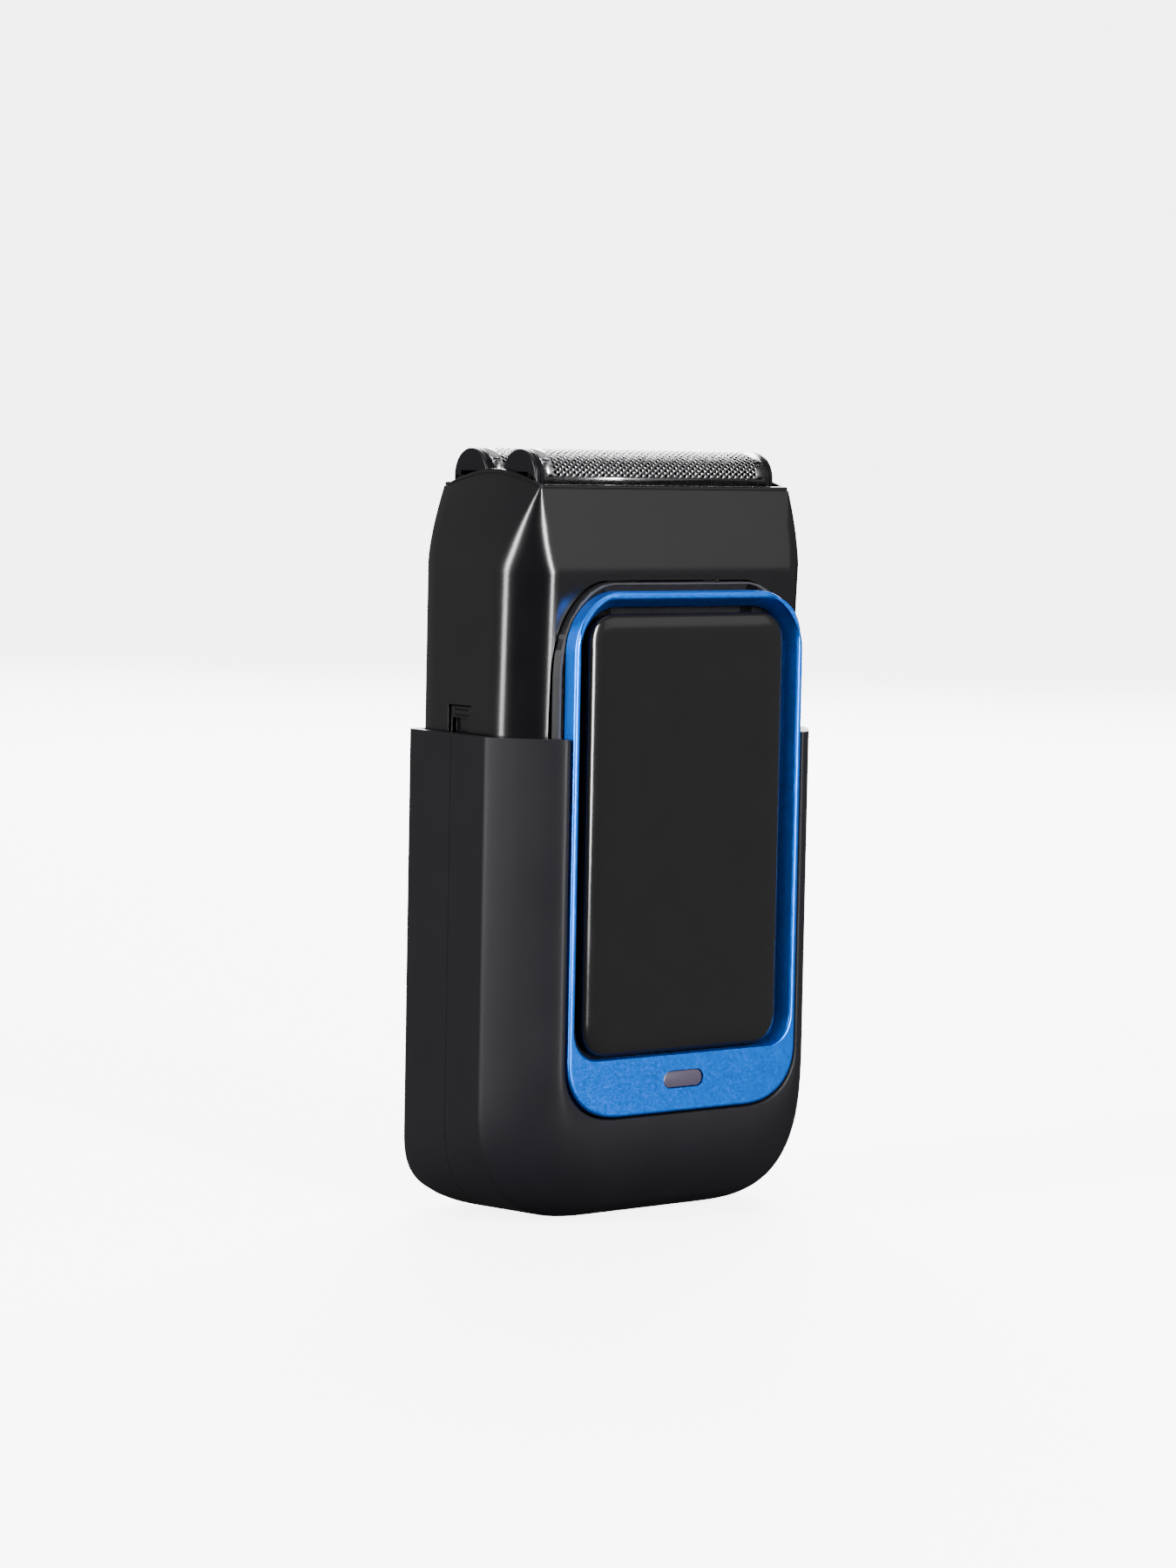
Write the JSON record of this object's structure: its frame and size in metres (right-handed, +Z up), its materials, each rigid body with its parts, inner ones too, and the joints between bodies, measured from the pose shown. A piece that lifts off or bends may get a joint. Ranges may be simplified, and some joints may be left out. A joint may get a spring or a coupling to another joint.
{
  "type": "electric shaver",
  "caption": "Compact twin-foil electric shaver: matte handle, gloss lift-off foil head, blue metal frame round a large power key, indicator light, spring-floated foils and cutters.",
  "frame": {"origin": "below the middle of the object's box, on the surface that it stands on", "axes": "+Z up towards the foils, the power key faces -Y, +X to the right seen from the front"},
  "size_m": [0.0606, 0.0308, 0.112],
  "materials": {
    "matte_shell": "soft-touch matte black moulding",
    "gloss_shell": "satin-gloss black moulding",
    "black_gloss": "polished piano black",
    "blue_metal": "blue anodised, fine bead-blasted grain",
    "lens": "smoked translucent",
    "foil_steel": "perforated foil, bright",
    "steel": "plain",
    "dark_plastic": "moulded",
    "grey_plastic": "moulded",
    "board_green": "solder mask",
    "rubber": "soft",
    "cell_wrap": "shrink wrap",
    "brass": "plain"
  },
  "bodies": {
    "handle": {"handle_front_shell": "matte_shell", "handle_rear_shell": "matte_shell", "bezel": "dark_plastic", "blue_frame": "blue_metal", "indicator_lens": "lens", "indicator_led": "lens", "circuit_board": "board_green", "power_switch": "grey_plastic", "usb_socket": "steel", "inner_chassis": "grey_plastic", "chassis_screw_1": "steel", "chassis_screw_2": "steel", "chassis_screw_3": "steel", "chassis_screw_4": "steel", "battery_cell": "cell_wrap", "battery_tab_top": "brass", "battery_tab_bottom": "brass", "drive_housing": "dark_plastic", "motor_can": "steel", "motor_end_bell": "grey_plastic", "drive_seal": "rubber", "bridge_guide_left": "grey_plastic", "bridge_guide_right": "grey_plastic"},
    "rotor": {"motor_shaft": "steel", "eccentric": "grey_plastic"},
    "bridge": {"drive_bridge": "grey_plastic", "drive_pin_front": "steel", "drive_pin_rear": "steel"},
    "cutter_front": {"cutter_block_front": "steel", "cutter_carrier_front": "grey_plastic", "cutter_spring_front": "steel"},
    "cutter_rear": {"cutter_block_rear": "steel", "cutter_carrier_rear": "grey_plastic", "cutter_spring_rear": "steel"},
    "head": {"head_shell": "gloss_shell", "head_top_frame": "dark_plastic"},
    "foil_unit_front": {"foil_front": "foil_steel", "foil_holder_front": "dark_plastic", "foil_cap_front_left": "dark_plastic", "foil_cap_front_right": "dark_plastic", "foil_spring_front_left": "steel", "foil_spring_front_right": "steel"},
    "foil_unit_rear": {"foil_rear": "foil_steel", "foil_holder_rear": "dark_plastic", "foil_cap_rear_left": "dark_plastic", "foil_cap_rear_right": "dark_plastic", "foil_spring_rear_left": "steel", "foil_spring_rear_right": "steel"},
    "power_key": {"power_key": "black_gloss", "switch_plunger": "grey_plastic"},
    "latch_left": {"latch_left": "dark_plastic", "latch_spring_left": "steel"},
    "latch_right": {"latch_right": "dark_plastic", "latch_spring_right": "steel"}
  },
  "joints": [
    {"name": "head_lift", "type": "slide", "parent": "handle", "child": "head", "axis": [0, 0, 1], "range_m": [0, 0.046]},
    {"name": "foil_front_float", "type": "slide", "parent": "head", "child": "foil_unit_front", "axis": [0, 0, -1], "range_m": [0, 0.0009], "stiffness_N_per_m": 600, "springref_m": -0.001, "deforming": ["foil_spring_front_left", "foil_spring_front_right"]},
    {"name": "foil_rear_float", "type": "slide", "parent": "head", "child": "foil_unit_rear", "axis": [0, 0, -1], "range_m": [0, 0.0009], "stiffness_N_per_m": 600, "springref_m": -0.001, "deforming": ["foil_spring_rear_left", "foil_spring_rear_right"]},
    {"name": "bridge_slide", "type": "slide", "parent": "handle", "child": "bridge", "axis": [1, 0, 0], "range_m": [-0.0012, 0.0012], "stiffness_N_per_m": 300},
    {"name": "cutter_front_float", "type": "slide", "parent": "bridge", "child": "cutter_front", "axis": [0, 0, -1], "range_m": [0, 0.0009], "deforming": ["cutter_spring_front"]},
    {"name": "cutter_rear_float", "type": "slide", "parent": "bridge", "child": "cutter_rear", "axis": [0, 0, -1], "range_m": [0, 0.0009], "deforming": ["cutter_spring_rear"]},
    {"name": "motor_spin", "type": "hinge", "parent": "handle", "child": "rotor", "pos_m": [0, 0.0026, 0.0766], "axis": [0, 0, 1], "continuous": true},
    {"name": "power_key_press", "type": "slide", "parent": "handle", "child": "power_key", "axis": [0, 1, 0], "range_m": [0, 0.0006], "stiffness_N_per_m": 1500, "springref_m": -0.0008},
    {"name": "latch_left_press", "type": "slide", "parent": "handle", "child": "latch_left", "axis": [1, 0, 0], "range_m": [0, 0.001], "stiffness_N_per_m": 1500, "springref_m": -0.0006, "deforming": ["latch_spring_left"]},
    {"name": "latch_right_press", "type": "slide", "parent": "handle", "child": "latch_right", "axis": [-1, 0, 0], "range_m": [0, 0.001], "stiffness_N_per_m": 1500, "springref_m": -0.0006, "deforming": ["latch_spring_right"]}
  ],
  "couplings": [
    {"joint": "cutter_front_float", "follows": "foil_front_float", "ratio": 1},
    {"joint": "cutter_rear_float", "follows": "foil_rear_float", "ratio": 1}
  ]
}
